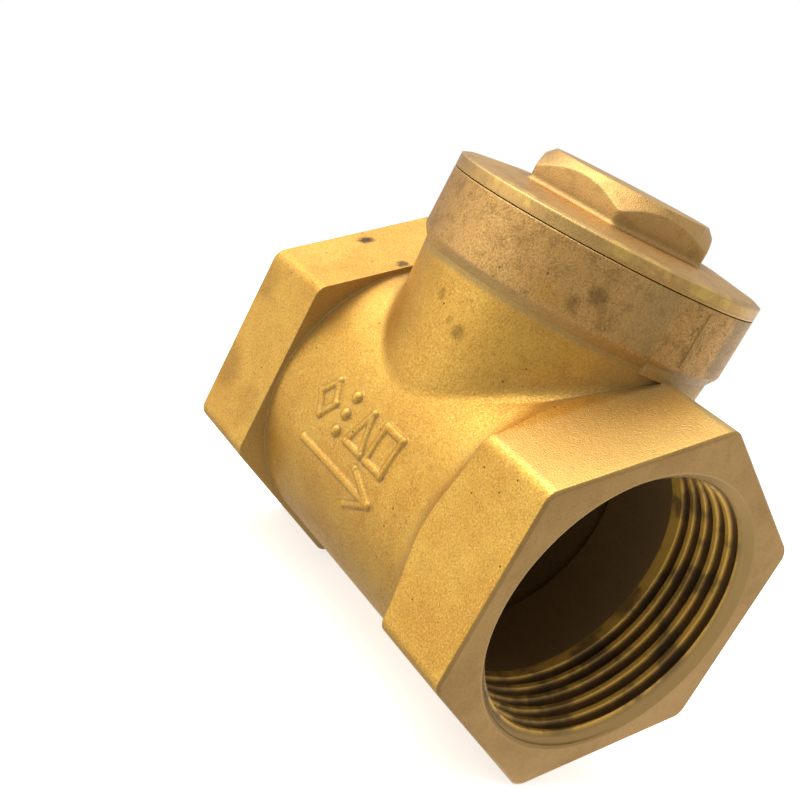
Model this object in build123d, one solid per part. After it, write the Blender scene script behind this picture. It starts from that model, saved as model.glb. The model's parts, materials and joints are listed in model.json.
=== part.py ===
from build123d import *
from math import atan, copysign, degrees, radians, sqrt, tan
import os

# Swing check valve, DN 32, screwed ends.  Millimetres.  Frame: origin at the centre of the
# inlet end face, +X along the flow, +Z up the bonnet.

# --- driving dimensions of the casting ---
FACE_TO_FACE = 70.0
HEX_ACROSS_FLATS = 48.0
HEX_EDGE_ROUND = 2.3
INLET_HEX_LENGTH = 14.0
OUTLET_HEX_LENGTH = 13.2
END_EDGE_BREAK = 0.35
BARREL_R = 23.2
BARREL_FLARE_R = 4.5
CAVITY_R = 20.2
CAVITY_START = 19.0
CAVITY_END = 44.0
FLASH_HEIGHT = 0.14
FLASH_WIDTH = 1.2
LEDGE_HEIGHT = 0.9
LEDGE_REACH = 5.0
LEDGE_SET_BACK = 0.4
FAR = 100.0  # beyond the body, whichever way
SPARE = 0.1  # how far a cut runs past the surface it opens
SUNK = 0.5  # how far a stub is sunk into the piece that carries it

# --- raised cast marks on the -Y side, laid in round beads ---
BEAD_R = 0.70
BEAD_CORNER_R = 0.78
BEAD_HEIGHT = 0.5
DOT_R = 1.0
MARK_Z = 2.7
MARK_HALF_WIDTH = 2.0
MARK_HALF_HEIGHT = 2.7
LOZENGE_X = 26.2
DOTS_X = 31.1
TRIANGLE_X = 35.8
SQUARE_X = 41.2
ARROW_TAIL = 24.8
ARROW_TIP = 43.2
ARROW_Z = -4.5
ARROW_HEAD_LENGTH = 5.0
ARROW_HEAD_HALF = 2.6

# --- thread form ---
THREAD_FLANK_ANGLE = 27.5
THREAD_ROOT_SHARE = 0.03
THREAD_SPILL = 0.3

# --- pipe threads, G 1 1/4 ---
PORT_MAJOR_R = 20.955
PORT_MINOR_R = 19.476
PORT_PITCH = 2.309
INLET_THREAD_TURNS = 4
OUTLET_THREAD_TURNS = 6
MOUTH_R = 21.1
MOUTH_CHAMFER = MOUTH_R - PORT_MINOR_R
INLET_BORE_END = 15.5

# --- seat ---
SEAT_BORE_R = 13.0
SEAT_LIP_R = 14.4
SEAT_FACE = 20.0

# --- bonnet neck ---
BONNET_X = 35.0
NECK_TOP_R = 21.8
NECK_FOOT_R = 20.3
NECK_ROOT_FILLET = 2.0
FLANGE_R = 22.7
FLANGE_STEP_START = 27.9
FLANGE_STEP_END = 29.3
FLANGE_STEP_ROUND = 0.8
FLANGE_TOP = 38.0
NECK_BORE_R = 18.2
NECK_THREAD_R = 19.0
NECK_THREAD_START = 27.5
BONNET_PITCH = 1.5
NECK_THREAD_TURNS = 6
CAP_THREAD_TURNS = 5
BONNET_THREAD_DEPTH = 0.8
GASKET_SEAT_R = 20.75
GASKET_SEAT = 36.95

# --- cap ---
CAP_JOINT_GAP = 0.15
CAP_UNDERSIDE = FLANGE_TOP + CAP_JOINT_GAP
CAP_WALL_HEIGHT = 1.75
CAP_RIM_HEIGHT = 2.1
CAP_RIM_BEVEL = 0.9
CAP_DECK_RISE = 0.85
CAP_DECK_FLAT_R = 16.0
CAP_HEX_ACROSS_FLATS = 25.0
CAP_HEX_TURN = 13.5
CAP_HEX_HEIGHT = 4.9
CAP_HEX_EDGE_ROUND = 0.9
CAP_HEX_ROOT_ROUND = 0.8
CAP_CROWN_INSET = 1.0
CAP_CROWN_REACH = 4.0
CAP_SKIRT_R = 18.9
CAP_SKIRT_BOTTOM = 29.0
CAP_SKIRT_INNER_R = 15.9
CAP_CEILING = 37.4
GASKET_INNER_R = 19.15
GASKET_OUTER_R = 20.6

# --- hinge ---
HINGE_X = 24.5
HINGE_Z = 20.4
HINGE_PIN_R = 1.9
HINGE_CLEARANCE = 0.06
PIN_FIT = 0.03
PIN_CHAMFER = 0.3
PIN_END_PLAY = 0.2
PIN_BLIND_END = -16.2
PIN_OPEN_END = 14.3
LUG_R = 3.8
LUG_INNER_Y = 7.2
BOSS_R = 6.6
BOSS_FACE_Y = 20.6
BOSS_ROOT_Y = 12.0
BOSS_EDGE_ROUND = 0.6
SPOT_FACE_R = 7.2
PLUG_R = 3.95
PLUG_HOLE_R = 4.0
PLUG_INNER_Y = 14.6
PLUG_SEAL_THICKNESS = 0.8
PLUG_SEAL_R = 6.2
PLUG_HEAD_ACROSS_FLATS = 11.0
PLUG_HEAD_HEIGHT = 4.0
PLUG_SOCKET_ACROSS_FLATS = 5.0
PLUG_SOCKET_DEPTH = 2.8
PLUG_EDGE_ROUND = 0.4
NUT_CHAMFER = 0.9  # on the corners of the plug and of the arm nut

# --- clapper ---
DISC_R = 15.8
DISC_FRONT = 22.4
DISC_BACK = 25.4
DISC_LIP_DEPTH = 1.4
DISC_EDGE_ROUND = 0.8
SEAL_SIDE_GAP = 0.1
SEAL_R = 15.0
SEAL_BORE_R = 5.1
SPIGOT_R = 5.0
SPIGOT_FRONT = 20.2
RETAINER_R = 9.5
RETAINER_THICKNESS = 1.4
RETAINER_CHAMFER = 0.5
SCREW_R = 2.45
SCREW_HOLE_R = 2.5
SCREW_END = 29.5
SCREW_HEAD_R = 4.4
SCREW_HEAD_HEIGHT = 2.6
SCREW_HEAD_ROUND = 1.0
SLOT_HALF_WIDTH = 0.6
SLOT_DEPTH = 1.2
STUD_R = 4.0
STUD_END = 38.5
STUD_TIP_CHAMFER = 0.8
ARM_BOSS_R = 7.0
ARM_BOSS_FRONT = 25.7
ARM_BOSS_BACK = 30.2
ARM_STRAP_FRONT = 26.0
ARM_STRAP_BACK = 29.8
ARM_HALF_WIDTH = 4.5
ARM_EDGE_ROUND = 1.0
KNUCKLE_R = 3.4
KNUCKLE_HALF_WIDTH = 6.8
HEEL_REACH = 5.5
HEEL_HALF_THICKNESS = 1.2
WASHER_FRONT = 30.3
WASHER_THICKNESS = 1.2
WASHER_R = 7.2
WASHER_BORE_R = 4.15
NUT_ACROSS_FLATS = 13.0
NUT_HEIGHT = 4.0
NUT_FIT = 0.02
COTTER_R = 0.8
COTTER_X = 37.1
COTTER_HALF_LENGTH = 6.2
COTTER_EYE_R = 1.5
COTTER_LEG_R = 0.6
COTTER_LEG_LENGTH = 2.6
COTTER_LEG_SPREAD = 1.4

ALONG_X = Rot(0, 90, 0)
ALONG_Y = Rot(-90, 0, 0)


def rod_x(radius, start, end):
    """Round bar along X, between two stations."""
    return Pos((start + end) / 2, 0, 0) * ALONG_X * Cylinder(radius, end - start)


def rod_y(radius, start, end, x=HINGE_X, z=HINGE_Z):
    """Round bar along Y, through (x, z)."""
    return Pos(x, (start + end) / 2, z) * ALONG_Y * Cylinder(radius, end - start)


def rod_z(radius, start, end):
    """Round bar along the bonnet's axis."""
    return Pos(BONNET_X, 0, (start + end) / 2) * Cylinder(radius, end - start)


def turned_x(points):
    """Solid of revolution about X from (x, radius) corners, closed along the axis."""
    first, last = points[0][0], points[-1][0]
    outline = Polyline((first, 0), *points, (last, 0), close=True)
    return revolve(make_face(outline), axis=Axis.X)


def turned_z(points):
    """Solid of revolution about the bonnet's axis from (radius, z) corners."""
    section = make_face(Polyline((0, points[0][1]), *points, (0, points[-1][1]), close=True))
    return Pos(BONNET_X, 0, 0) * revolve(Plane.XZ * section, axis=Axis.Z)


def box_between(low, high):
    """Box with two opposite corners given."""
    size = [b - a for a, b in zip(low, high)]
    middle = [(a + b) / 2 for a, b in zip(low, high)]
    return Pos(*middle) * Box(*size)


def hexagon(across_flats, edge_round=0.0, turn=0.0):
    """Hexagon in the XY plane, two flats square to Y at turn 0."""
    outline = RegularPolygon(across_flats / 2, 6, major_radius=False, rotation=turn)
    if edge_round:
        outline = fillet(outline.vertices(), edge_round)
    return outline


def port_hex(start, end, machined_face):
    """Hexagon bar along X with a corner up, its long edges rounded and its end face trimmed."""
    bar = extrude(Plane.YZ * hexagon(HEX_ACROSS_FLATS, HEX_EDGE_ROUND, turn=30), end - start)
    bar = Pos(start, 0, 0) * bar
    face = bar.faces().sort_by(Axis.X)[machined_face]
    return chamfer(face.edges(), END_EDGE_BREAK)


def barrel_and_neck():
    """Round middle of the body with the bonnet's tapered neck on it, blended at the root."""
    round_bar = rod_x(BARREL_R, INLET_HEX_LENGTH - 1, FACE_TO_FACE - OUTLET_HEX_LENGTH / 2)
    neck = Pos(BONNET_X, 0, FLANGE_STEP_END / 2) * Cone(NECK_FOOT_R, NECK_TOP_R, FLANGE_STEP_END)
    joined = round_bar + neck
    outside = joined.faces().filter_by(GeomType.CONE).edges()
    root = outside.filter_by(lambda edge: edge.center().Z < FLANGE_STEP_START - 1)
    return fillet(root, NECK_ROOT_FILLET)


def outlet_flare():
    """Barrel's outlet end, swelling in an arc to meet the corners of the hexagon."""
    shoulder = FACE_TO_FACE - OUTLET_HEX_LENGTH
    flare_r = BARREL_R + BARREL_FLARE_R
    start = shoulder - BARREL_FLARE_R
    outline = Polyline(
        (start, BARREL_R), (start, 0), (FACE_TO_FACE, 0), (FACE_TO_FACE, flare_r),
        (shoulder, flare_r),
    )
    arc = RadiusArc((shoulder, flare_r), (start, BARREL_R), BARREL_FLARE_R)
    return revolve(make_face([*outline.edges(), arc]), axis=Axis.X)


def outer_casting():
    """Outside of the body: two hexagons, barrel, neck and flange."""
    flare_start = FACE_TO_FACE - OUTLET_HEX_LENGTH - BARREL_FLARE_R
    inlet = port_hex(0, INLET_HEX_LENGTH, machined_face=0)
    outlet = outlet_flare() & port_hex(flare_start, FACE_TO_FACE, machined_face=-1)
    casting = barrel_and_neck() + inlet + outlet + bonnet_flange()
    return casting + pin_boss() + parting_flash() + flow_arrow() + foundry_marks()


def bonnet_flange():
    """Thicker ring at the top of the neck, with a soft slope under it."""
    flange = turned_z([
        (NECK_TOP_R, FLANGE_STEP_START), (FLANGE_R, FLANGE_STEP_END), (FLANGE_R, FLANGE_TOP)])
    step_edge = flange.edges().filter_by(
        lambda edge: abs(edge.center().Z - FLANGE_STEP_END) < 0.01)
    return fillet(step_edge, FLANGE_STEP_ROUND)


def pin_boss():
    """Flat-faced pad round the hinge-pin plug, on the +Y side."""
    boss = rod_y(BOSS_R, BOSS_ROOT_Y, BOSS_FACE_Y)
    return fillet(boss.edges().group_by(Axis.Y)[-1], BOSS_EDGE_ROUND)


def parting_flash():
    """Thin ridge that the mould's joint leaves in the plane of the two axes."""
    half = FLASH_WIDTH / 2
    rim = rod_z(
        FLANGE_R + FLASH_HEIGHT, FLANGE_STEP_END + FLANGE_STEP_ROUND / 2, FLANGE_TOP - half)
    rim &= box_between((0, -half, 0), (FAR, half, FAR))
    belly = rod_x(BARREL_R + FLASH_HEIGHT, INLET_HEX_LENGTH, FACE_TO_FACE - OUTLET_HEX_LENGTH)
    belly &= box_between((0, -half, -FAR), (FAR, half, 0))
    ledge = rod_z(FLANGE_R - LEDGE_SET_BACK, FLANGE_STEP_START - LEDGE_HEIGHT, FLANGE_STEP_END)
    ledge &= box_between((BONNET_X, -LEDGE_REACH, 0), (FAR, 0, FAR))
    return rim + belly + ledge


def on_barrel(x, z):
    """Centre of a bead on the -Y side of the barrel, sunk so that the bead stands proud."""
    centre_r = BARREL_R + BEAD_HEIGHT - BEAD_R
    return Vector(x, -sqrt(centre_r ** 2 - z ** 2), z)


def ball(radius, centre):
    """Ball with its poles along X and its seam facing into the body."""
    return Pos(centre) * Rot(0, 90, 0) * Rot(0, 0, 90) * Sphere(radius)


def bead(corners, closed=False):
    """Round bead through (x, z) corners on the side of the barrel."""
    points = [on_barrel(x, z) for x, z in corners]
    path = Part()
    for point in points:
        path += ball(BEAD_CORNER_R, point)
    ends = points[1:] + points[:1] if closed else points[1:]
    for start, end in zip(points, ends):
        across = Plane(origin=start, x_dir=(0, 1, 0), z_dir=end - start)
        path += across * Cylinder(
            BEAD_R, (end - start).length, align=(Align.CENTER, Align.CENTER, Align.MIN))
    return path


def flow_arrow():
    """Arrow pointing along the flow."""
    shaft = bead([(ARROW_TAIL, ARROW_Z), (ARROW_TIP, ARROW_Z)])
    back = ARROW_TIP - ARROW_HEAD_LENGTH
    head = bead([
        (back, ARROW_Z + ARROW_HEAD_HALF), (ARROW_TIP, ARROW_Z),
        (back, ARROW_Z - ARROW_HEAD_HALF)])
    return shaft + head


def foundry_marks():
    """Row of plain shapes above the arrow: lozenge, column of dots, triangle and square."""
    wide, tall = MARK_HALF_WIDTH, MARK_HALF_HEIGHT
    top, bottom = MARK_Z + tall, MARK_Z - tall
    marks = bead([
        (LOZENGE_X, bottom), (LOZENGE_X + wide, MARK_Z), (LOZENGE_X, top),
        (LOZENGE_X - wide, MARK_Z)], closed=True)
    for z in (bottom, MARK_Z, top):
        marks += ball(DOT_R, on_barrel(DOTS_X, z))
    marks += bead([
        (TRIANGLE_X - wide, bottom), (TRIANGLE_X + wide, bottom), (TRIANGLE_X, top)],
        closed=True)
    marks += bead([
        (SQUARE_X - wide, bottom), (SQUARE_X + wide, bottom), (SQUARE_X + wide, top),
        (SQUARE_X - wide, top)], closed=True)
    return marks


def thread_groove(start, turns, crest_r, depth, pitch):
    """Right-handed V groove about X, in half turns that lean to and fro to follow the helix.

    The depth is negative for a groove in a shaft.
    """
    root_half = pitch * THREAD_ROOT_SHARE / 2
    spill = copysign(THREAD_SPILL, depth)
    mouth_half = root_half + (abs(depth) + THREAD_SPILL) * tan(radians(THREAD_FLANK_ANGLE))
    section = make_face(Polyline(
        (-mouth_half, crest_r - spill), (-root_half, crest_r + depth),
        (root_half, crest_r + depth), (mouth_half, crest_r - spill), close=True))
    upper = revolve(section, axis=Axis.X, revolution_arc=180)
    lower = Rot(180, 0, 0) * upper
    lean = degrees(atan(pitch / 4 / (crest_r + depth / 2)))
    halves = []
    for turn in range(turns):
        middle = start + (turn + 0.25) * pitch
        halves.append(Pos(middle, 0, 0) * Rot(0, 0, lean) * upper)
        halves.append(Pos(middle + pitch / 2, 0, 0) * Rot(0, 0, -lean) * lower)
    return halves


def port_bore(bore_end, turns):
    """Hole of one screwed end, from its mouth at x = 0 inwards, with its thread."""
    bore = turned_x([
        (-SPARE, MOUTH_R + SPARE), (MOUTH_CHAMFER, PORT_MINOR_R), (bore_end, PORT_MINOR_R)])
    depth = PORT_MAJOR_R - PORT_MINOR_R
    for groove in thread_groove(-PORT_PITCH / 2, turns, PORT_MINOR_R, depth, PORT_PITCH):
        bore += groove
    return bore


def pin_lugs():
    """Two cast ears that carry the hinge pin, tied to the wall behind the seat."""
    ears = Part()
    for side in (-1, 1):
        low, high = sorted((side * LUG_INNER_Y, side * (NECK_BORE_R - 1)))
        ear = rod_y(LUG_R, low, high)
        web = box_between(
            (CAVITY_START - 1, low, HINGE_Z - LUG_R), (HINGE_X, high, HINGE_Z + LUG_R))
        ears += ear + web
    return ears


def cavity():
    """Room in which the clapper swings, open to the neck and to the outlet."""
    chamber = rod_x(CAVITY_R, CAVITY_START, CAVITY_END)
    throat = rod_z(NECK_BORE_R, 0, NECK_THREAD_START + SPARE)
    throat &= box_between((CAVITY_START, -FAR, 0), (FAR, FAR, FAR))
    return chamber + throat - pin_lugs()


def body():
    """Cast body with both screwed ends, the seat, the cavity and the neck."""
    casting = outer_casting()
    casting -= cavity()
    casting -= rod_x(SEAT_BORE_R, 0, SEAT_FACE)
    lip = rod_x(SEAT_LIP_R, CAVITY_START - SUNK, SEAT_FACE) - rod_x(SEAT_BORE_R, 0, FAR)
    casting += lip
    casting -= neck_thread()
    casting -= rod_z(GASKET_SEAT_R, GASKET_SEAT, FAR)
    casting -= rod_y(HINGE_PIN_R + PIN_FIT, PIN_BLIND_END, BOSS_FACE_Y)
    casting -= rod_y(PLUG_HOLE_R, PLUG_INNER_Y - SPARE, BOSS_FACE_Y)
    casting -= rod_y(SPOT_FACE_R, BOSS_FACE_Y, FAR)
    casting -= port_bore(INLET_BORE_END, INLET_THREAD_TURNS)
    outlet = port_bore(FACE_TO_FACE - CAVITY_END + SPARE, OUTLET_THREAD_TURNS)
    return casting - Pos(FACE_TO_FACE, 0, 0) * Rot(0, 0, 180) * outlet


def upright(shape):
    """Turn a shape built about X to stand about the bonnet's axis, its stations becoming z."""
    return Pos(BONNET_X, 0, 0) * Rot(0, -90, 0) * shape


def neck_thread():
    """Hole of the neck's female thread, open at the flange's top."""
    hole = rod_z(NECK_THREAD_R, NECK_THREAD_START, FLANGE_TOP + 1)
    for groove in thread_groove(
            NECK_THREAD_START + 1, NECK_THREAD_TURNS, NECK_THREAD_R, BONNET_THREAD_DEPTH,
            BONNET_PITCH):
        hole += upright(groove)
    return hole


def threaded_skirt():
    """Cap's male thread, with a chamfered lead."""
    skirt = turned_z([
        (CAP_SKIRT_R - BONNET_THREAD_DEPTH, CAP_SKIRT_BOTTOM),
        (CAP_SKIRT_R, CAP_SKIRT_BOTTOM + BONNET_THREAD_DEPTH),
        (CAP_SKIRT_R, CAP_UNDERSIDE + SUNK)])
    for groove in thread_groove(
            CAP_SKIRT_BOTTOM, CAP_THREAD_TURNS, CAP_SKIRT_R, -BONNET_THREAD_DEPTH,
            BONNET_PITCH):
        skirt -= upright(groove)
    return skirt


def cap_head():
    """Hexagon of the cap, crowned at the top, with a soft root."""
    deck = CAP_UNDERSIDE + CAP_RIM_HEIGHT + CAP_DECK_RISE
    top = deck + CAP_HEX_HEIGHT
    crown_r = CAP_HEX_ACROSS_FLATS / 2 - CAP_CROWN_INSET
    bar = Pos(BONNET_X, 0, deck) * extrude(
        hexagon(CAP_HEX_ACROSS_FLATS, CAP_HEX_EDGE_ROUND, CAP_HEX_TURN), CAP_HEX_HEIGHT)
    crown = turned_z([
        (crown_r + CAP_CROWN_REACH, deck), (crown_r + CAP_CROWN_REACH, top - CAP_CROWN_REACH),
        (crown_r, top)])
    return bar & crown


def cap_disc():
    """Cap's round top: side wall, bevelled rim and a deck that rises to the hexagon."""
    rim_top = CAP_UNDERSIDE + CAP_RIM_HEIGHT
    return turned_z([
        (FLANGE_R, CAP_UNDERSIDE), (FLANGE_R, CAP_UNDERSIDE + CAP_WALL_HEIGHT),
        (FLANGE_R - CAP_RIM_BEVEL, rim_top), (CAP_DECK_FLAT_R, rim_top + CAP_DECK_RISE)])


def bonnet_cap():
    """Screwed cap with its hexagon head, rim and hollow threaded skirt."""
    deck = CAP_UNDERSIDE + CAP_RIM_HEIGHT + CAP_DECK_RISE
    top = cap_disc() + cap_head()
    root = top.edges().filter_by(
        lambda edge: abs(edge.center().Z - deck) < 0.01
        and edge.length < CAP_HEX_ACROSS_FLATS)
    top = fillet(root, CAP_HEX_ROOT_ROUND)
    return top + threaded_skirt() - rod_z(CAP_SKIRT_INNER_R, 0, CAP_CEILING)


def cap_gasket():
    """Flat ring in the recess under the cap's rim."""
    return rod_z(GASKET_OUTER_R, GASKET_SEAT, CAP_UNDERSIDE) - rod_z(GASKET_INNER_R, 0, FAR)


def hinge_pin():
    """Plain pin across the body, chamfered at both ends."""
    pin = rod_y(HINGE_PIN_R, PIN_BLIND_END + PIN_END_PLAY, PIN_OPEN_END)
    ends = pin.edges().group_by(Axis.Y)
    return chamfer(ends[0] + ends[-1], PIN_CHAMFER)


def hinge_plug():
    """Screw plug that closes the pin's hole, with a hexagon head and a socket."""
    head_start = BOSS_FACE_Y + PLUG_SEAL_THICKNESS
    head_end = head_start + PLUG_HEAD_HEIGHT
    shank = rod_y(PLUG_R, PLUG_INNER_Y, head_start + SUNK)
    shank = chamfer(shank.edges().group_by(Axis.Y)[0], SUNK)
    head = Pos(HINGE_X, head_start, HINGE_Z) * ALONG_Y * extrude(
        hexagon(PLUG_HEAD_ACROSS_FLATS, PLUG_EDGE_ROUND), PLUG_HEAD_HEIGHT)
    crown = rod_y(PLUG_HEAD_ACROSS_FLATS / sqrt(3), head_start, head_end)
    crown = chamfer(crown.edges().group_by(Axis.Y)[-1], NUT_CHAMFER)
    socket = Pos(HINGE_X, head_end, HINGE_Z) * ALONG_Y * extrude(
        hexagon(PLUG_SOCKET_ACROSS_FLATS), -PLUG_SOCKET_DEPTH)
    return shank + (head & crown) - socket


def hinge_plug_seal():
    """Sealing washer between the plug's head and the boss."""
    end = BOSS_FACE_Y + PLUG_SEAL_THICKNESS
    return rod_y(PLUG_SEAL_R, BOSS_FACE_Y, end) - rod_y(PLUG_HOLE_R + SPARE, 0, FAR)


def hinge_arm():
    """Clapper's arm: knuckle on the pin, strap, stud boss, and a heel that stops the swing."""
    knuckle = rod_y(KNUCKLE_R, -KNUCKLE_HALF_WIDTH, KNUCKLE_HALF_WIDTH)
    boss = rod_x(ARM_BOSS_R, ARM_BOSS_FRONT, ARM_BOSS_BACK)
    boss = fillet(boss.edges().group_by(Axis.X)[-1], DISC_EDGE_ROUND)
    strap = box_between(
        (ARM_STRAP_FRONT, -ARM_HALF_WIDTH, 0),
        (ARM_STRAP_BACK, ARM_HALF_WIDTH, HINGE_Z - 1))
    strap = fillet(strap.edges().filter_by(Axis.Z).group_by(Axis.X)[-1], ARM_EDGE_ROUND)
    heel = box_between(
        (HINGE_X - HEEL_HALF_THICKNESS, -ARM_HALF_WIDTH, HINGE_Z),
        (HINGE_X + HEEL_HALF_THICKNESS, ARM_HALF_WIDTH, HINGE_Z + HEEL_REACH))
    arm = knuckle + boss + strap + heel
    arm -= rod_y(HINGE_PIN_R + HINGE_CLEARANCE, -FAR, FAR)
    return arm - rod_x(STUD_R + HINGE_CLEARANCE, 0, FAR)


def clapper_disc():
    """Disc with a recess for the seal in front and a threaded stud behind."""
    plate = rod_x(DISC_R, DISC_FRONT - DISC_LIP_DEPTH, DISC_BACK)
    plate = fillet(plate.edges().group_by(Axis.X)[-1], DISC_EDGE_ROUND)
    plate -= rod_x(SEAL_R + SEAL_SIDE_GAP, 0, DISC_FRONT)
    spigot = rod_x(SPIGOT_R, SPIGOT_FRONT, DISC_FRONT + SUNK)
    stud = rod_x(STUD_R, DISC_BACK - SUNK, STUD_END)
    stud = chamfer(stud.edges().group_by(Axis.X)[-1], STUD_TIP_CHAMFER)
    cotter_hole = rod_y(COTTER_R + HINGE_CLEARANCE, -FAR, FAR, x=COTTER_X, z=0)
    return plate + spigot + stud - rod_x(SCREW_HOLE_R, 0, SCREW_END + SUNK) - cotter_hole


def seat_seal():
    """Rubber ring that meets the seat's lip."""
    return rod_x(SEAL_R, SEAT_FACE, DISC_FRONT) - rod_x(SEAL_BORE_R, 0, FAR)


def seal_retainer():
    """Washer that clamps the seal against the disc."""
    start = SEAT_FACE - RETAINER_THICKNESS
    washer = rod_x(RETAINER_R, start, SEAT_FACE)
    washer = chamfer(washer.edges().group_by(Axis.X)[0], RETAINER_CHAMFER)
    return washer - rod_x(SCREW_HOLE_R + SPARE, 0, FAR)


def seal_screw():
    """Slotted pan-head screw through the retainer into the disc."""
    back = SEAT_FACE - RETAINER_THICKNESS
    front = back - SCREW_HEAD_HEIGHT
    head = rod_x(SCREW_HEAD_R, front, back)
    head = fillet(head.edges().group_by(Axis.X)[0], SCREW_HEAD_ROUND)
    slot = box_between((0, -FAR, -SLOT_HALF_WIDTH), (front + SLOT_DEPTH, FAR, SLOT_HALF_WIDTH))
    return head - slot + rod_x(SCREW_R, back - SUNK, SCREW_END)


def arm_washer():
    """Flat washer between the arm and its nut."""
    washer = rod_x(WASHER_R, WASHER_FRONT, WASHER_FRONT + WASHER_THICKNESS)
    return washer - rod_x(WASHER_BORE_R, 0, FAR)


def arm_nut():
    """Thin hexagon nut on the disc's stud."""
    start = WASHER_FRONT + WASHER_THICKNESS
    nut = Pos(start, 0, 0) * extrude(
        Plane.YZ * hexagon(NUT_ACROSS_FLATS, PLUG_EDGE_ROUND), NUT_HEIGHT)
    crown = rod_x(NUT_ACROSS_FLATS / sqrt(3), start, start + NUT_HEIGHT)
    crown = chamfer(crown.edges().group_by(Axis.X)[-1], NUT_CHAMFER)
    return (nut & crown) - rod_x(STUD_R + NUT_FIT, 0, FAR)


def cotter_pin():
    """Split pin through the stud: eye at one end, two legs bent back at the other."""
    shank = rod_y(COTTER_R, -COTTER_HALF_LENGTH, COTTER_HALF_LENGTH, x=COTTER_X, z=0)
    eye_y = -COTTER_HALF_LENGTH - COTTER_EYE_R + SUNK
    pin = shank + Pos(COTTER_X, eye_y, 0) * ALONG_X * Torus(COTTER_EYE_R, COTTER_LEG_R)
    leg_y = COTTER_HALF_LENGTH - COTTER_LEG_R / 2
    for side in (-1, 1):
        leg = Cylinder(COTTER_LEG_R, COTTER_LEG_LENGTH)
        pin += Pos(COTTER_X, leg_y, side * COTTER_LEG_SPREAD) * leg
    return pin


PIECES = (
    body, bonnet_cap, cap_gasket, hinge_pin, hinge_plug, hinge_plug_seal, hinge_arm,
    clapper_disc, seat_seal, seal_retainer, seal_screw, arm_washer, arm_nut, cotter_pin,
)

os.makedirs("parts", exist_ok=True)
for piece in PIECES:
    export_step(piece(), f"parts/{piece.__name__}.step")
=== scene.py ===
import json
from math import radians

import bpy
from mathutils import Matrix, Vector


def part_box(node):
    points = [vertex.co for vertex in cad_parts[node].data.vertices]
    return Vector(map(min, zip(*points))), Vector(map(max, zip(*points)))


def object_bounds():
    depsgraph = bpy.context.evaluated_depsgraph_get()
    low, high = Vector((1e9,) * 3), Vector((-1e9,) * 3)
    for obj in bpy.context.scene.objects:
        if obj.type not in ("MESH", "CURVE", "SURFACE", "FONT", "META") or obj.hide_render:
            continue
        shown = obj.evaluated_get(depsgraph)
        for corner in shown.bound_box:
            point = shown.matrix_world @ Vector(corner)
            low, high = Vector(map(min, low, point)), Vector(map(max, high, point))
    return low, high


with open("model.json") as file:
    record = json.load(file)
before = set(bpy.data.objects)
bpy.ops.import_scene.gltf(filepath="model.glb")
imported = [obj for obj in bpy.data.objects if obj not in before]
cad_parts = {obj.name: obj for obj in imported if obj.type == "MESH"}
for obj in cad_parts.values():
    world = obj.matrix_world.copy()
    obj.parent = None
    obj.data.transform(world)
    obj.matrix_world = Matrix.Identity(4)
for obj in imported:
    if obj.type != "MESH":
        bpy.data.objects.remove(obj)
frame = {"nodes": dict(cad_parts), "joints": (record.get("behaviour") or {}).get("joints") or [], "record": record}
cad_low, cad_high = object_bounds()

# Lengths below are millimetres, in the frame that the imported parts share; angles are degrees.
MM = 0.001
MOUNTS = {mount["name"]: mount for mount in frame["record"]["mounts"]}
JOINTS = {joint["name"]: joint for joint in frame["joints"]}

# --- the valve: the flow runs along x, and the bonnet stands up along z ---
LENGTH = MOUNTS["outlet_face"]["pos_m"][0] / MM
BONNET_X = JOINTS["cap_turn"]["pos_m"][0] / MM
FLANGE_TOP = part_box("body")[1][2] / MM
FLANGE_START = 28.6
THREAD_CREST_R = MOUNTS["inlet_thread"]["dims"]["r_mm"]
MOUTH_R = 21.1
MOUTH_DEPTH = 1.2
PORT_DEPTH = 14.1
HEXAGON_END = 13.0
NECK_START = 9.0
NECK_INSIDE_R = 20.0
CAP_RIM_TOP = 40.2
CAP_RIM_START_R = 21.2

# --- grain of the blasted brass: sizes of its lumps, and its depth ---
FINE_GRAIN = 0.22
COARSE_GRAIN = 0.65
SPECKLE = 0.27
PATCH = 11.0
BLOTCH = 2.2
GRAIN_RELIEF = 0.08

# Rays that look for edges and crevices at each point.
CORNER_SAMPLES = 6

# --- colours, as sRGB codes ---
BRASS_GOLD = "E8B855"
BRASS_DEEP = "D8A045"
BRASS_TAN = "D8A868"
BRASS_CAP = "DEB36C"
BRASS_PALE = "F8D68C"
# Worn brass, also a painted highlight on the cap rim.
BRASS_WORN_SHEEN = "F5CB70"
BRASS_CUT = "CCA768"
TARNISH = "8A683C"
# Patina with painted shade, for corners and crevices.
PATINA_AND_SHADE = "8A744A"
STAIN = "4E3823"
OIL = "5F4D38"
# Dark brown of the painted shade inside the casting.
BORE_SHADE = "54432F"
STEEL = "B9B7B2"
STEEL_PALE = "D6D4CF"
RUBBER = "171717"
RUBBER_BLOOM = "3A3A38"
FIBRE = "6E4A33"
FIBRE_PALE = "8F6547"
PAPER = "F4F4F2"
WHITE = "FFFFFF"

# Blemishes of the casting: centre, radius, strength.
STAINS = (
    ((3.2, -12.2, 20.7), 1.6, 0.95),
    ((12.9, -11.5, 21.1), 1.3, 0.85),
    ((52.0, -13.9, 33.4), 2.0, 0.55),
    ((50.4, -15.7, 31.4), 1.6, 0.50),
    ((35.1, -21.2, 23.7), 1.2, 0.35),
    ((40.3, -20.3, 20.8), 1.5, 0.45),
    ((38.4, -20.7, 21.5), 1.0, 0.40),
    ((1.0, -24.0, 9.5), 4.5, 0.22),
    ((1.5, -24.0, -5.0), 5.0, 0.25),
    ((11.0, -24.0, -7.0), 4.0, 0.15),
)

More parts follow.
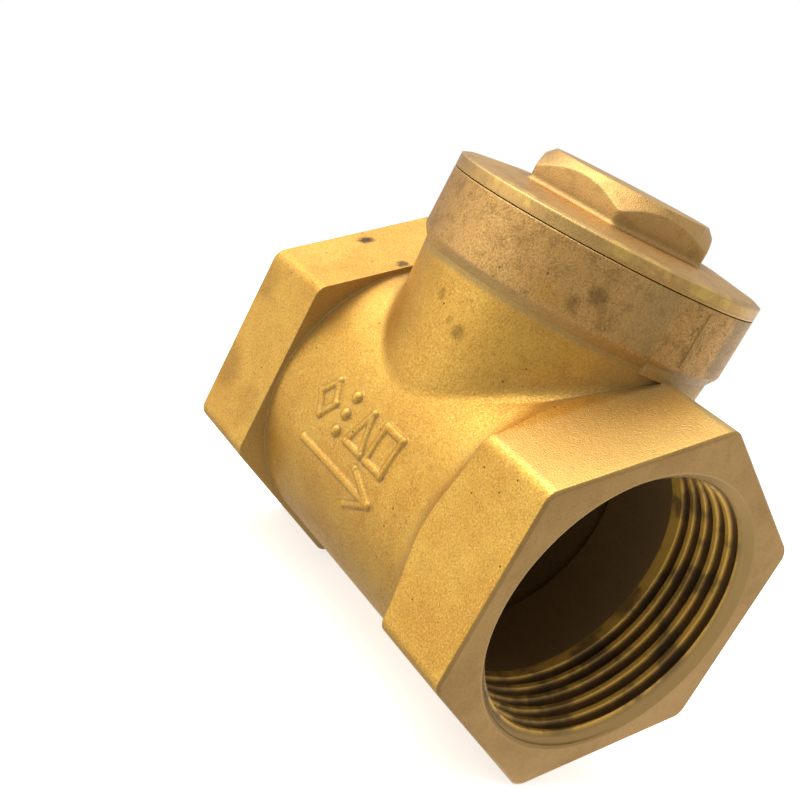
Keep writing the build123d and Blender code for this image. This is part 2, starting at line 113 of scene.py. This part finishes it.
SLOTS = {
    "body": "cast_brass",
    "bonnet_cap": "cap_brass",
    "cap_gasket": "gasket_fibre",
    "hinge_plug": "turned_brass",
    "hinge_plug_seal": "gasket_fibre",
    "hinge_pin": "stainless",
    "hinge_arm": "turned_brass",
    "clapper_disc": "turned_brass",
    "seat_seal": "seal_rubber",
    "seal_retainer": "stainless",
    "seal_screw": "stainless",
    "arm_washer": "stainless",
    "arm_nut": "turned_brass",
    "cotter_pin": "stainless",
}

# --- studio: each soft light's direction from the valve, and its brightness ---
SOFT_LIGHTS = (
    ((-0.4, -0.35, 0.85), 3.7),
    ((-0.55, -0.8, -0.3), 1.0),
    ((-0.1, 0.9, -0.4), 1.0),
)
STUDIO_FILL = 0.45
LIGHT_FALLOFF = 7.0

# --- floor: a disc that is opaque near the valve and clear further out ---
FLOOR_RADIUS = 1000.0
FLOOR_SIDES = 96
FLOOR_OPAQUE_R = 80.0
FLOOR_CLEAR_R = 600.0
FLOOR_GAP = 0.2
FLOOR_GLOW = 0.65

# --- camera: its place, and its angles as seen from the valve ---
CAMERA_PLACE = (160.53, -131.89, 50.17)
CAMERA_AZIMUTH = -40.347
CAMERA_ELEVATION = 17.096
CAMERA_ROLL = 27.615
SENSOR_WIDTH = 36.0
FOCAL_LENGTH = 58.16
SHIFT_RIGHT = 0.0787
SHIFT_UP = 0.0567
CLIP_START = 10.0


# ---------------------------------------------------------------- shader helpers
class Shader:
    """Adds and links the nodes of one material."""

    def __init__(self, tree):
        self.tree = tree
        tree.nodes.clear()

    def add(self, kind, inputs=None, **settings):
        node = self.tree.nodes.new(kind)
        for name, value in settings.items():
            setattr(node, name, value)
        for name, value in (inputs or {}).items():
            self.put(node.inputs[name], value)
        return node

    def put(self, socket, value):
        if isinstance(value, bpy.types.NodeSocket):
            self.tree.links.new(value, socket)
        else:
            socket.default_value = value

    def put_in_order(self, node, *values):
        for socket, value in zip(node.inputs, values):
            self.put(socket, value)

    def maths(self, operation, *values):
        node = self.add("ShaderNodeMath", operation=operation)
        self.put_in_order(node, *values)
        return node.outputs[0]

    def times(self, *values):
        result = values[0]
        for value in values[1:]:
            result = self.maths("MULTIPLY", result, value)
        return result

    def most(self, *values):
        result = values[0]
        for value in values[1:]:
            result = self.maths("MAXIMUM", result, value)
        return result

    def invert(self, value):
        return self.maths("SUBTRACT", 1.0, value)

    def rise(self, value, low, high):
        """0 below low and 1 above high, smooth between them."""
        node = self.add("ShaderNodeMapRange", {
            "Value": value, "From Min": low, "From Max": high}, interpolation_type="SMOOTHSTEP")
        return node.outputs["Result"]

    def fall(self, value, low, high):
        """1 below low and 0 above high, smooth between them."""
        return self.invert(self.rise(value, low, high))

    def band(self, value, low, high, soft):
        """1 between low and high, with soft ends."""
        return self.times(self.rise(value, low - soft, low + soft),
                          self.fall(value, high - soft, high + soft))

    def colour(self, factor, first, second):
        """First colour where the factor is 0, and the second where it is 1."""
        node = self.add("ShaderNodeMix", {"Factor": factor}, data_type="RGBA")
        sockets = [socket for socket in node.inputs if socket.type == "RGBA"]
        for socket, value in zip(sockets, (first, second)):
            self.put(socket, linear(value) if isinstance(value, str) else value)
        return next(socket for socket in node.outputs if socket.type == "RGBA")

    def tint(self, under, over, mask, share):
        """A colour with a share of another one over it, where the mask is 1."""
        return self.colour(self.times(mask, share), under, over)

    def number(self, factor, first, second):
        """First number where the factor is 0, and the second where it is 1."""
        node = self.add("ShaderNodeMix", data_type="FLOAT")
        self.put(node.inputs[0], factor)
        self.put(node.inputs[2], first)
        self.put(node.inputs[3], second)
        return node.outputs[0]

    def noise(self, place, size, detail, roughness):
        """Noise whose lumps are about the given size."""
        node = self.add("ShaderNodeTexNoise", {
            "Vector": place, "Scale": 1 / size, "Detail": detail, "Roughness": roughness})
        return node.outputs[0]

    def tool_marks(self, radius):
        """Rings that a lathe leaves round an axis."""
        node = self.add("ShaderNodeTexNoise", {
            "W": radius, "Scale": 6.0, "Detail": 3.0}, noise_dimensions="1D")
        return node.outputs[0]

    def spots(self, place, spacing, radius, share):
        """Round spots in a given share of cells of the given spacing."""
        node = self.add("ShaderNodeTexVoronoi", {"Vector": place, "Scale": 1 / spacing})
        chosen = self.add("ShaderNodeSeparateColor", {"Color": node.outputs["Color"]})
        picked = self.maths("LESS_THAN", chosen.outputs[0], share)
        return self.times(picked, self.fall(node.outputs["Distance"], radius * 0.4, radius))

    def distance(self, place, centre):
        node = self.add("ShaderNodeVectorMath", operation="DISTANCE")
        self.put_in_order(node, place, centre)
        return node.outputs["Value"]

    def dot(self, first, second):
        node = self.add("ShaderNodeVectorMath", operation="DOT_PRODUCT")
        self.put_in_order(node, first, second)
        return node.outputs["Value"]

    def blend(self, factor, first, second):
        """First surface or background where the factor is 0, and the second where it is 1."""
        node = self.add("ShaderNodeMixShader")
        self.put_in_order(node, factor, first, second)
        return node.outputs[0]

    def finish(self, **inputs):
        """Ends the material in one Principled surface with the given inputs."""
        shader = self.add("ShaderNodeBsdfPrincipled")
        for name, value in inputs.items():
            self.put(shader.inputs[name.replace("_", " ")], value)
        self.add("ShaderNodeOutputMaterial", {"Surface": shader.outputs[0]})


def linear(code):
    """Linear colour of an sRGB code."""
    channels = [int(code[i:i + 2], 16) / 255 for i in (0, 2, 4)]
    return (*[c / 12.92 if c <= 0.04045 else ((c + 0.055) / 1.055) ** 2.4
              for c in channels], 1.0)


def new_material(name):
    material = bpy.data.materials.new(name)
    material.use_nodes = True
    return material, Shader(material.node_tree)


class Place:
    """Where a point lies on the valve, in millimetres, and which way its surface faces."""

    def __init__(self, shader):
        coordinates = shader.add("ShaderNodeTexCoord").outputs["Object"]
        scaled = shader.add("ShaderNodeVectorMath", {"Scale": 1 / MM}, operation="SCALE")
        shader.put(scaled.inputs[0], coordinates)
        self.point = scaled.outputs[0]
        split = shader.add("ShaderNodeSeparateXYZ", {"Vector": self.point})
        self.x, self.y, self.z = split.outputs
        self.from_flow_axis = self.radius(shader, self.y, self.z)
        off_bonnet = shader.maths("SUBTRACT", self.x, BONNET_X)
        self.from_bonnet_axis = self.radius(shader, off_bonnet, self.y)
        normal = shader.add("ShaderNodeNewGeometry").outputs["Normal"]
        parts = shader.add("ShaderNodeSeparateXYZ", {"Vector": normal})
        self.facing_x = shader.maths("ABSOLUTE", parts.outputs[0])
        self.facing_up = parts.outputs[2]

    @staticmethod
    def radius(shader, first, second):
        squares = shader.maths("ADD", shader.times(first, first), shader.times(second, second))
        return shader.maths("SQRT", squares)


def softened(shader, radius):
    """Normal with its hard edges rounded off."""
    bevel = shader.add("ShaderNodeBevel", {"Radius": radius * MM}, samples=CORNER_SAMPLES)
    return bevel.outputs["Normal"]


def edges_of(shader, normal):
    """Mask of the hard edges that a softened normal rounds off."""
    plain = shader.add("ShaderNodeNewGeometry").outputs["Normal"]
    return shader.rise(shader.invert(shader.dot(normal, plain)), 0.01, 0.10)


def crevice_shade(shader, reach):
    """Mask of the corners, up to the given reach, where shade falls; it carries painted shade."""
    node = shader.add("ShaderNodeAmbientOcclusion", {
        "Distance": reach * MM}, samples=CORNER_SAMPLES)
    return shader.fall(node.outputs["AO"], 0.45, 0.95)


def bumped(shader, normal, height, depth):
    """Normal disturbed by a height; depth is millimetres of relief."""
    node = shader.add("ShaderNodeBump", {
        "Strength": 1.0, "Distance": depth * MM, "Height": height, "Normal": normal})
    return node.outputs[0]


class BlastedSkin:
    """Height, speckle, wide patches and small blotches of a shot-blasted surface."""

    def __init__(self, shader, place):
        fine = shader.noise(place.point, FINE_GRAIN, 2, 0.6)
        coarse = shader.noise(place.point, COARSE_GRAIN, 2, 0.5)
        self.height = shader.maths("ADD", shader.times(fine, 0.75), shader.times(coarse, 0.25))
        self.speckle = shader.noise(place.point, SPECKLE, 2, 0.6)
        self.patches = shader.noise(place.point, PATCH, 4, 0.65)
        self.blotches = shader.noise(place.point, BLOTCH, 5, 0.7)


# ---------------------------------------------------------------- parts of the casting
def stains(shader, place):
    """Mask of the casting's listed blemishes, with ragged edges."""
    ragged = shader.noise(place.point, 0.9, 3, 0.6)
    wobble = shader.times(shader.maths("SUBTRACT", ragged, 0.5), 1.6)
    marks = []
    for centre, radius, strength in STAINS:
        away = shader.maths("ADD", shader.distance(place.point, centre), wobble)
        marks.append(shader.times(shader.fall(away, radius * 0.3, radius), strength))
    return shader.most(*marks)


def painted_corner_shade(shader, place):
    """Mask of painted shade: crevices, the hexagons' inner shoulders and the step under the flange."""
    between_hexagons = shader.band(place.x, HEXAGON_END, LENGTH - HEXAGON_END, 0.3)
    shoulder = shader.times(shader.rise(place.facing_x, 0.8, 0.95), between_hexagons)
    under_flange = shader.band(place.z, FLANGE_START - 1.6, FLANGE_START + 0.7, 0.5)
    return shader.most(crevice_shade(shader, 6.0), shader.times(shoulder, 0.7),
                       shader.times(under_flange, 0.8))


def blasted_colour(shader, place, skin, edges, corner_shade):
    """Golden outside, tanner and dirtier on the flange, with a painted highlight on the outlet hexagon's upward
    flats.
    """
    flange = shader.rise(place.z, FLANGE_START - 1.0, FLANGE_START + 0.8)
    colour = shader.colour(shader.rise(skin.patches, 0.25, 0.75), BRASS_DEEP, BRASS_GOLD)
    tan = shader.times(flange, shader.rise(skin.patches, 0.15, 0.45))
    colour = shader.tint(colour, BRASS_TAN, tan, 0.85)
    grime = shader.rise(skin.blotches, 0.46, 0.66)
    colour = shader.tint(colour, TARNISH, grime, shader.number(flange, 0.15, 0.45))
    dirt = shader.fall(skin.speckle, 0.32, 0.50)
    colour = shader.tint(colour, TARNISH, dirt, shader.number(flange, 0.32, 0.45))
    # Pale specks on the grain: painted glints.
    colour = shader.tint(colour, BRASS_PALE, shader.rise(skin.speckle, 0.54, 0.70), 0.40)
    colour = shader.tint(colour, STAIN, shader.spots(place.point, 1.9, 0.11, 0.30), 0.80)
    colour = shader.colour(stains(shader, place), colour, STAIN)
    colour = shader.tint(colour, BRASS_PALE, edges, 0.35)
    # Painted shade, with some patina, in crevices, on the hexagons' inner shoulders and under the flange.
    colour = shader.tint(colour, PATINA_AND_SHADE, corner_shade, 0.80)
    # Painted highlight: the outlet hexagon's upward-facing flats are paler.
    outlet_hexagon = shader.rise(place.x, LENGTH - HEXAGON_END - 0.5, LENGTH - HEXAGON_END + 1.0)
    lit_top_flats = shader.times(outlet_hexagon, shader.rise(place.facing_up, 0.5, 0.8))
    return shader.tint(colour, BRASS_PALE, lit_top_flats, 0.40)


def turned_colour(shader, skin, rings):
    """End faces: tool marks and a little tarnish."""
    colour = shader.colour(rings, BRASS_CUT, BRASS_TAN)
    colour = shader.tint(colour, TARNISH, shader.rise(skin.patches, 0.35, 0.75), 0.30)
    colour = shader.tint(colour, STAIN, shader.rise(skin.blotches, 0.45, 0.70), 0.12)
    return shader.tint(colour, TARNISH, shader.fall(skin.speckle, 0.35, 0.50), 0.18)


def thread_colour(shader, place, depth):
    """Threads: bright crests, dark roots, old oil, and a clean mouth."""
    colour = shader.colour(depth, BRASS_GOLD, TARNISH)
    old_oil = shader.rise(shader.noise(place.point, 7.0, 3, 0.6), 0.45, 0.60)
    colour = shader.tint(colour, OIL, old_oil, 0.70)
    mouth = shader.invert(shader.band(place.x, MOUTH_DEPTH, LENGTH - MOUTH_DEPTH, 0.3))
    return shader.tint(colour, BRASS_CUT, mouth, 0.80)


def end_faces(shader, place):
    """Mask of the two turned end faces."""
    at_end = shader.most(shader.fall(place.x, 0.2, 0.4),
                         shader.rise(place.x, LENGTH - 0.4, LENGTH - 0.2))
    return shader.times(at_end, shader.rise(place.facing_x, 0.4, 0.6))


def ports_and_chamber(shader, place):
    """Masks of the two threaded ports, and of everything further inside."""
    in_port = shader.invert(shader.band(place.x, PORT_DEPTH, LENGTH - PORT_DEPTH, 0.2))
    in_bore = shader.fall(place.from_flow_axis, MOUTH_R + 0.1, MOUTH_R + 0.25)
    past_ports = shader.times(in_bore, shader.invert(in_port))
    in_neck = shader.times(shader.rise(place.z, NECK_START, NECK_START + 3.0),
                           shader.fall(place.from_bonnet_axis, NECK_INSIDE_R, NECK_INSIDE_R + 0.1))
    below_flange_top = shader.rise(shader.maths("SUBTRACT", FLANGE_TOP, place.z), 0.3, 0.6)
    chamber = shader.most(past_ports, shader.times(in_neck, below_flange_top))
    return shader.times(in_bore, in_port), chamber


# ---------------------------------------------------------------- materials
def cast_brass():
    """Blasted casting outside; turned end faces and threads; unmachined chamber inside, darkened with painted
    shade.
    """
    material, shader = new_material("cast_brass")
    place = Place(shader)
    normal = softened(shader, 0.35)
    edges = edges_of(shader, normal)
    skin = BlastedSkin(shader, place)
    rings = shader.tool_marks(place.from_flow_axis)
    corner_shade = painted_corner_shade(shader, place)
    turned = end_faces(shader, place)
    thread, chamber = ports_and_chamber(shader, place)
    depth = shader.rise(place.from_flow_axis, THREAD_CREST_R + 0.05, THREAD_CREST_R + 0.6)

    base = blasted_colour(shader, place, skin, edges, corner_shade)
    base = shader.colour(turned, base, turned_colour(shader, skin, rings))
    base = shader.colour(thread, base, thread_colour(shader, place, depth))
    # Painted shade: the chamber's colour is darkened towards dark brown.
    base = shader.tint(base, BORE_SHADE, chamber, 0.85)

    rough = shader.number(shader.rise(skin.speckle, 0.3, 0.7), 0.54, 0.36)
    rough = shader.number(turned, rough, 0.38)
    rough = shader.number(thread, rough, shader.number(depth, 0.20, 0.42))
    rough = shader.number(chamber, rough, 0.62)

    # Less metallic where the corners carry painted shade.
    metal = shader.number(corner_shade, 1.0, 0.45)
    metal = shader.number(chamber, metal, 0.35)
    metal = shader.number(thread, metal, shader.number(depth, 0.45, 0.75))

    relief = shader.number(shader.most(turned, thread), skin.height, shader.times(rings, 0.12))
    normal = bumped(shader, normal, relief, GRAIN_RELIEF)
    shader.finish(Base_Color=base, Metallic=metal, Roughness=rough, Normal=normal)
    return material


def cap_brass():
    """Turned and lightly blasted cap, tanner than the casting, its rim bright in patches from wear and a painted
    highlight.
    """
    material, shader = new_material("cap_brass")
    place = Place(shader)
    normal = softened(shader, 0.45)
    skin = BlastedSkin(shader, place)
    base = shader.colour(shader.rise(skin.patches, 0.35, 0.75), BRASS_CAP, BRASS_TAN)
    base = shader.tint(base, TARNISH, shader.rise(skin.blotches, 0.48, 0.68), 0.28)
    base = shader.tint(base, TARNISH, shader.fall(skin.speckle, 0.30, 0.48), 0.30)
    base = shader.tint(base, BRASS_PALE, edges_of(shader, normal), 0.60)
    rim = shader.times(shader.band(place.z, CAP_RIM_TOP - 1.6, CAP_RIM_TOP + 0.1, 0.2),
                       shader.rise(place.from_bonnet_axis, CAP_RIM_START_R, CAP_RIM_START_R + 0.6))
    wear_and_sheen = shader.times(shader.rise(skin.patches, 0.50, 0.62),
                        shader.rise(skin.blotches, 0.35, 0.55))
    # Rim patches: wear and a painted highlight.
    base = shader.tint(base, BRASS_WORN_SHEEN, rim, wear_and_sheen)
    # Painted shade, with some patina, in the cap's crevices.
    base = shader.tint(base, PATINA_AND_SHADE, crevice_shade(shader, 3.0), 0.80)
    skirt = shader.fall(place.z, FLANGE_TOP - 0.3, FLANGE_TOP)
    base = shader.tint(base, BRASS_GOLD, skirt, 0.50)
    rough = shader.number(shader.times(rim, 0.6), shader.number(skin.speckle, 0.36, 0.50), 0.28)
    normal = bumped(shader, normal, skin.height, GRAIN_RELIEF)
    shader.finish(Base_Color=base, Metallic=1.0, Roughness=rough, Normal=normal)
    return material


def turned_brass():
    """Small turned brass parts, with fine tool marks."""
    material, shader = new_material("turned_brass")
    place = Place(shader)
    normal = softened(shader, 0.2)
    patches = shader.noise(place.point, 2.5, 3, 0.6)
    base = shader.colour(shader.rise(patches, 0.35, 0.65), BRASS_DEEP, BRASS_GOLD)
    base = shader.tint(base, BRASS_PALE, edges_of(shader, normal), 0.50)
    rough = shader.number(patches, 0.24, 0.38)
    normal = bumped(shader, normal, shader.noise(place.point, 0.15, 1, 0.5), 0.012)
    shader.finish(Base_Color=base, Metallic=1.0, Roughness=rough, Normal=normal)
    return material


def stainless():
    """Bright stainless pins and screw."""
    material, shader = new_material("stainless")
    place = Place(shader)
    smears = shader.noise(place.point, 1.2, 3, 0.6)
    base = shader.colour(shader.rise(smears, 0.3, 0.7), STEEL, STEEL_PALE)
    rough = shader.number(smears, 0.2, 0.36)
    normal = bumped(shader, softened(shader, 0.15), shader.noise(place.point, 0.12, 1, 0.5), 0.008)
    shader.finish(Base_Color=base, Metallic=1.0, Roughness=rough, Normal=normal)
    return material


def seal_rubber():
    """Black nitrile rubber with a faint bloom."""
    material, shader = new_material("seal_rubber")
    place = Place(shader)
    bloom = shader.noise(place.point, 3.0, 4, 0.6)
    base = shader.tint(RUBBER, RUBBER_BLOOM, shader.rise(bloom, 0.45, 0.75), 0.5)
    normal = bumped(shader, softened(shader, 0.15), shader.noise(place.point, 0.2, 2, 0.5), 0.02)
    shader.finish(Base_Color=base, Roughness=shader.number(bloom, 0.5, 0.7), Normal=normal)
    return material


def gasket_fibre():
    """Red-brown pressed fibre."""
    material, shader = new_material("gasket_fibre")
    place = Place(shader)
    fibres = shader.noise(place.point, 0.25, 4, 0.7)
    base = shader.colour(shader.rise(fibres, 0.35, 0.65), FIBRE, FIBRE_PALE)
    normal = bumped(shader, softened(shader, 0.1), fibres, 0.03)
    shader.finish(Base_Color=base, Roughness=0.85, Normal=normal)
    return material


def dress_nodes():
    """Give each node the material of its slot in SLOTS."""
    makers = (cast_brass, cap_brass, turned_brass, stainless, seal_rubber, gasket_fibre)
    materials = {make.__name__: make() for make in makers}
    for name, node in frame["nodes"].items():
        node.data.materials.clear()
        node.data.materials.append(materials[SLOTS[name]])


# ---------------------------------------------------------------- stage
def floor_paper():
    """White paper that fades away from the valve, and is clear from below."""
    material, shader = new_material("floor_paper")
    paper = shader.add("ShaderNodeBsdfDiffuse", {"Color": linear(PAPER)})
    glow = shader.add("ShaderNodeEmission", {"Color": linear(WHITE), "Strength": FLOOR_GLOW})
    lit = shader.add("ShaderNodeAddShader")
    shader.put_in_order(lit, paper.outputs[0], glow.outputs[0])
    clear = shader.add("ShaderNodeBsdfTransparent")
    away = shader.distance(shader.add("ShaderNodeTexCoord").outputs["Object"], (0, 0, 0))
    faded = shader.rise(away, FLOOR_OPAQUE_R * MM, FLOOR_CLEAR_R * MM)
    underside = shader.add("ShaderNodeNewGeometry").outputs["Backfacing"]
    surface = shader.blend(shader.most(faded, underside), lit.outputs[0], clear.outputs[0])
    shader.add("ShaderNodeOutputMaterial", {"Surface": surface})
    return material


def add_floor():
    """Pale disc just under the valve, left out of its reflections."""
    bpy.ops.mesh.primitive_circle_add(
        vertices=FLOOR_SIDES, radius=FLOOR_RADIUS * MM, fill_type="TRIFAN",
        location=(BONNET_X * MM, 0, cad_low[2] - FLOOR_GAP * MM))
    floor = bpy.context.object
    floor.name = "floor"
    floor.data.materials.append(floor_paper())
    floor.visible_glossy = False


def add_world():
    """White to the camera; to everything else, an even studio with a few soft lights in it."""
    world = bpy.data.worlds.new("studio")
    bpy.context.scene.world = world
    world.use_nodes = True
    shader = Shader(world.node_tree)
    looking = shader.add("ShaderNodeTexCoord").outputs["Generated"]
    light = STUDIO_FILL
    for direction, brightness in SOFT_LIGHTS:
        towards = shader.dot(looking, Vector(direction).normalized())
        off_centre = shader.maths("SUBTRACT", towards, 1.0)
        glow = shader.maths("EXPONENT", shader.times(off_centre, LIGHT_FALLOFF))
        light = shader.maths("ADD", shader.times(glow, brightness), light)
    studio = shader.add("ShaderNodeBackground", {"Color": linear(WHITE), "Strength": light})
    white = shader.add("ShaderNodeBackground", {"Color": linear(WHITE), "Strength": 1.0})
    seen = shader.add("ShaderNodeLightPath").outputs["Is Camera Ray"]
    surface = shader.blend(seen, studio.outputs[0], white.outputs[0])
    shader.add("ShaderNodeOutputWorld", {"Surface": surface})


def camera_turn():
    """Rotation of the camera, from one that looks at the valve level from its +X side."""
    right, up, back = (0, 1, 0), (0, 0, 1), (1, 0, 0)
    level = Matrix((right, up, back)).transposed()
    azimuth = Matrix.Rotation(radians(CAMERA_AZIMUTH), 3, "Z")
    elevation = Matrix.Rotation(radians(-CAMERA_ELEVATION), 3, "Y")
    roll = Matrix.Rotation(radians(CAMERA_ROLL), 3, "X")
    return azimuth @ elevation @ roll @ level


def add_camera():
    """Camera at the photograph's angle, rolled because the valve lies on one flat there."""
    lens = bpy.data.cameras.new("camera")
    lens.sensor_width = SENSOR_WIDTH
    lens.lens = FOCAL_LENGTH
    lens.shift_x = SHIFT_RIGHT
    lens.shift_y = SHIFT_UP
    lens.clip_start = CLIP_START * MM
    camera = bpy.data.objects.new("camera", lens)
    bpy.context.scene.collection.objects.link(camera)
    place = Matrix.Translation(Vector(CAMERA_PLACE) * MM)
    camera.matrix_world = place @ camera_turn().to_4x4()
    bpy.context.scene.camera = camera


dress_nodes()
add_floor()
add_world()
add_camera()
bpy.context.scene.view_settings.view_transform = "Standard"
